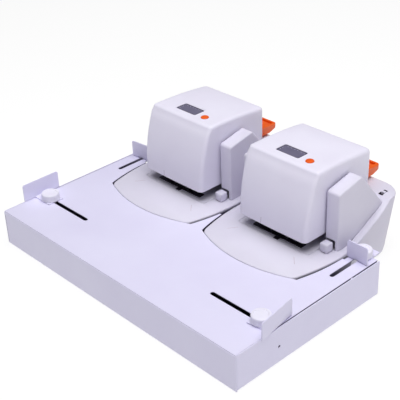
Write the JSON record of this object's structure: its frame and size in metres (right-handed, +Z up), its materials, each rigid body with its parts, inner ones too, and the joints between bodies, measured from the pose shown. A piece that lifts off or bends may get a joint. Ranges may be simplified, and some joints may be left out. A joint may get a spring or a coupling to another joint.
{
  "type": "electric flat-clinch stapler",
  "caption": "Electric flat-clinch stapling heads side by side in a folded steel tray with clamped paper stops, swinging heads, cartridges, buttons and depth stops.",
  "frame": {"origin": "on the desk, under the middle of the outer box", "axes": "+Z up, +Y from the operator to the back, +X to the operator's right"},
  "size_m": [0.5046, 0.41, 0.1822],
  "materials": {
    "tray_paint": "lavender white powder coat, satin",
    "base_plastic": "fine textured light grey",
    "cover_plastic": "fine textured white",
    "knob_plastic": "smooth white",
    "orange_plastic": "semi gloss orange",
    "black_plastic": "black",
    "display_window": "grey window",
    "steel": "zinc plated",
    "rubber_black": "matt"
  },
  "bodies": {
    "root": {"tray_top": "tray_paint", "tray_pan": "tray_paint", "foot_front_left": "rubber_black", "foot_front_right": "rubber_black", "foot_rear_left": "rubber_black", "foot_rear_right": "rubber_black", "left_base": "base_plastic", "left_chassis": "steel", "left_table_panel": "base_plastic", "left_anvil": "black_plastic", "left_housing_left": "base_plastic", "left_housing_right": "base_plastic", "left_pivot_shaft": "steel", "left_power_socket": "black_plastic", "right_base": "base_plastic", "right_chassis": "steel", "right_table_panel": "base_plastic", "right_anvil": "black_plastic", "right_housing_left": "base_plastic", "right_housing_right": "base_plastic", "right_pivot_shaft": "steel", "right_power_socket": "black_plastic"},
    "side_left_slide": {"side_left_slide": "steel"},
    "side_left_bracket": {"side_left_bracket": "tray_paint"},
    "side_left_knob": {"side_left_knob": "knob_plastic"},
    "side_right_slide": {"side_right_slide": "steel"},
    "side_right_bracket": {"side_right_bracket": "tray_paint"},
    "side_right_knob": {"side_right_knob": "knob_plastic"},
    "rear_left_slide": {"rear_left_slide": "steel"},
    "rear_left_bracket": {"rear_left_bracket": "tray_paint"},
    "rear_left_knob": {"rear_left_knob": "knob_plastic"},
    "rear_right_slide": {"rear_right_slide": "steel"},
    "rear_right_bracket": {"rear_right_bracket": "tray_paint"},
    "rear_right_knob": {"rear_right_knob": "knob_plastic"},
    "left_head": {"left_head_cover": "cover_plastic", "left_head_frame": "steel", "left_display": "display_window", "left_motor": "steel"},
    "left_start_button": {"left_start_button": "orange_plastic"},
    "left_cartridge": {"left_cartridge": "orange_plastic"},
    "left_drive_gear": {"left_drive_gear": "steel"},
    "left_motor_pinion": {"left_motor_pinion": "steel"},
    "left_driver": {"left_driver": "steel"},
    "left_clincher": {"left_clincher": "steel"},
    "left_power_switch": {"left_power_switch": "base_plastic"},
    "left_depth_stop": {"left_depth_knob": "base_plastic", "left_paper_stop": "steel"},
    "right_head": {"right_head_cover": "cover_plastic", "right_head_frame": "steel", "right_display": "display_window", "right_motor": "steel"},
    "right_start_button": {"right_start_button": "orange_plastic"},
    "right_cartridge": {"right_cartridge": "orange_plastic"},
    "right_drive_gear": {"right_drive_gear": "steel"},
    "right_motor_pinion": {"right_motor_pinion": "steel"},
    "right_driver": {"right_driver": "steel"},
    "right_clincher": {"right_clincher": "steel"},
    "right_power_switch": {"right_power_switch": "base_plastic"},
    "right_depth_stop": {"right_depth_knob": "base_plastic", "right_paper_stop": "steel"}
  },
  "joints": [
    {"name": "side_left_travel", "type": "slide", "parent": "root", "child": "side_left_slide", "axis": [1, 0, 0], "range_m": [0, 0.088]},
    {"name": "side_left_swivel", "type": "hinge", "parent": "side_left_slide", "child": "side_left_bracket", "pos_m": [-0.2278, -0.134, 0.0583], "axis": [0, 0, 1], "range_deg": [-30, 30]},
    {"name": "side_left_clamp", "type": "hinge", "parent": "side_left_bracket", "child": "side_left_knob", "pos_m": [-0.2278, -0.134, 0.0601], "axis": [0, 0, 1], "continuous": true},
    {"name": "side_right_travel", "type": "slide", "parent": "root", "child": "side_right_slide", "axis": [-1, 0, 0], "range_m": [0, 0.088]},
    {"name": "side_right_swivel", "type": "hinge", "parent": "side_right_slide", "child": "side_right_bracket", "pos_m": [0.2232, -0.134, 0.0583], "axis": [0, 0, 1], "range_deg": [-38, 21]},
    {"name": "side_right_clamp", "type": "hinge", "parent": "side_right_bracket", "child": "side_right_knob", "pos_m": [0.2232, -0.134, 0.0601], "axis": [0, 0, 1], "continuous": true},
    {"name": "rear_left_travel", "type": "slide", "parent": "root", "child": "rear_left_slide", "axis": [0, -1, 0], "range_m": [-0.003, 0.062]},
    {"name": "rear_left_swivel", "type": "hinge", "parent": "rear_left_slide", "child": "rear_left_bracket", "pos_m": [-0.2268, 0.0675, 0.0583], "axis": [0, 0, 1], "range_deg": [-16, 4]},
    {"name": "rear_left_clamp", "type": "hinge", "parent": "rear_left_bracket", "child": "rear_left_knob", "pos_m": [-0.2268, 0.0675, 0.0601], "axis": [0, 0, 1], "continuous": true},
    {"name": "rear_right_travel", "type": "slide", "parent": "root", "child": "rear_right_slide", "axis": [0, -1, 0], "range_m": [0, 0.065]},
    {"name": "rear_right_swivel", "type": "hinge", "parent": "rear_right_slide", "child": "rear_right_bracket", "pos_m": [0.2222, 0.0708, 0.0583], "axis": [0, 0, 1], "range_deg": [-10, 10]},
    {"name": "rear_right_clamp", "type": "hinge", "parent": "rear_right_bracket", "child": "rear_right_knob", "pos_m": [0.2222, 0.0708, 0.0601], "axis": [0, 0, 1], "continuous": true},
    {"name": "left_head_swing", "type": "hinge", "parent": "root", "child": "left_head", "pos_m": [-0.1063, 0.13, 0.096], "axis": [1, 0, 0], "range_deg": [0, 4.5]},
    {"name": "left_button_press", "type": "slide", "parent": "left_head", "child": "left_start_button", "axis": [0, 0, -1], "range_m": [0, 0.001], "stiffness_N_per_m": 300, "springref_m": -0.001},
    {"name": "left_cartridge_slide", "type": "slide", "parent": "left_head", "child": "left_cartridge", "axis": [0, 1, 0], "range_m": [0, 0.095]},
    {"name": "left_gear_turn", "type": "hinge", "parent": "left_head", "child": "left_drive_gear", "pos_m": [-0.1063, 0.07392, 0.11458], "axis": [1, 0, 0], "range_deg": [0, 180]},
    {"name": "left_pinion_turn", "type": "hinge", "parent": "left_head", "child": "left_motor_pinion", "pos_m": [-0.1063, 0.095, 0.0905], "axis": [1, 0, 0], "range_deg": [-540, 0]},
    {"name": "left_driver_stroke", "type": "slide", "parent": "left_head", "child": "left_driver", "axis": [0, 0, -1], "range_m": [0, 0.012]},
    {"name": "left_clincher_stroke", "type": "slide", "parent": "root", "child": "left_clincher", "axis": [0, 0, 1], "range_m": [0, 0.0012]},
    {"name": "left_depth_slide", "type": "slide", "parent": "root", "child": "left_depth_stop", "axis": [0, 1, 0], "range_m": [0, 0.025]},
    {"name": "left_switch_slide", "type": "slide", "parent": "root", "child": "left_power_switch", "axis": [0, 1, 0], "range_m": [-0.0055, 0.0035]},
    {"name": "right_head_swing", "type": "hinge", "parent": "root", "child": "right_head", "pos_m": [0.1022, 0.13, 0.096], "axis": [1, 0, 0], "range_deg": [0, 4.5]},
    {"name": "right_button_press", "type": "slide", "parent": "right_head", "child": "right_start_button", "axis": [0, 0, -1], "range_m": [0, 0.001], "stiffness_N_per_m": 300, "springref_m": -0.001},
    {"name": "right_cartridge_slide", "type": "slide", "parent": "right_head", "child": "right_cartridge", "axis": [0, 1, 0], "range_m": [0, 0.095]},
    {"name": "right_gear_turn", "type": "hinge", "parent": "right_head", "child": "right_drive_gear", "pos_m": [0.1022, 0.07392, 0.11458], "axis": [1, 0, 0], "range_deg": [0, 180]},
    {"name": "right_pinion_turn", "type": "hinge", "parent": "right_head", "child": "right_motor_pinion", "pos_m": [0.1022, 0.095, 0.0905], "axis": [1, 0, 0], "range_deg": [-540, 0]},
    {"name": "right_driver_stroke", "type": "slide", "parent": "right_head", "child": "right_driver", "axis": [0, 0, -1], "range_m": [0, 0.012]},
    {"name": "right_clincher_stroke", "type": "slide", "parent": "root", "child": "right_clincher", "axis": [0, 0, 1], "range_m": [0, 0.0012]},
    {"name": "right_depth_slide", "type": "slide", "parent": "root", "child": "right_depth_stop", "axis": [0, 1, 0], "range_m": [0, 0.025]},
    {"name": "right_switch_slide", "type": "slide", "parent": "root", "child": "right_power_switch", "axis": [0, 1, 0], "range_m": [-0.0055, 0.0035]}
  ],
  "couplings": [
    {"joint": "left_gear_turn", "follows": "left_head_swing", "ratio": 40},
    {"joint": "left_pinion_turn", "follows": "left_head_swing", "ratio": -120},
    {"joint": "left_driver_stroke", "follows": "left_head_swing", "m_per_rad": 0.15278},
    {"joint": "left_clincher_stroke", "follows": "left_head_swing", "m_per_rad": 0.01527},
    {"joint": "right_gear_turn", "follows": "right_head_swing", "ratio": 40},
    {"joint": "right_pinion_turn", "follows": "right_head_swing", "ratio": -120},
    {"joint": "right_driver_stroke", "follows": "right_head_swing", "m_per_rad": 0.15278},
    {"joint": "right_clincher_stroke", "follows": "right_head_swing", "m_per_rad": 0.01527}
  ]
}
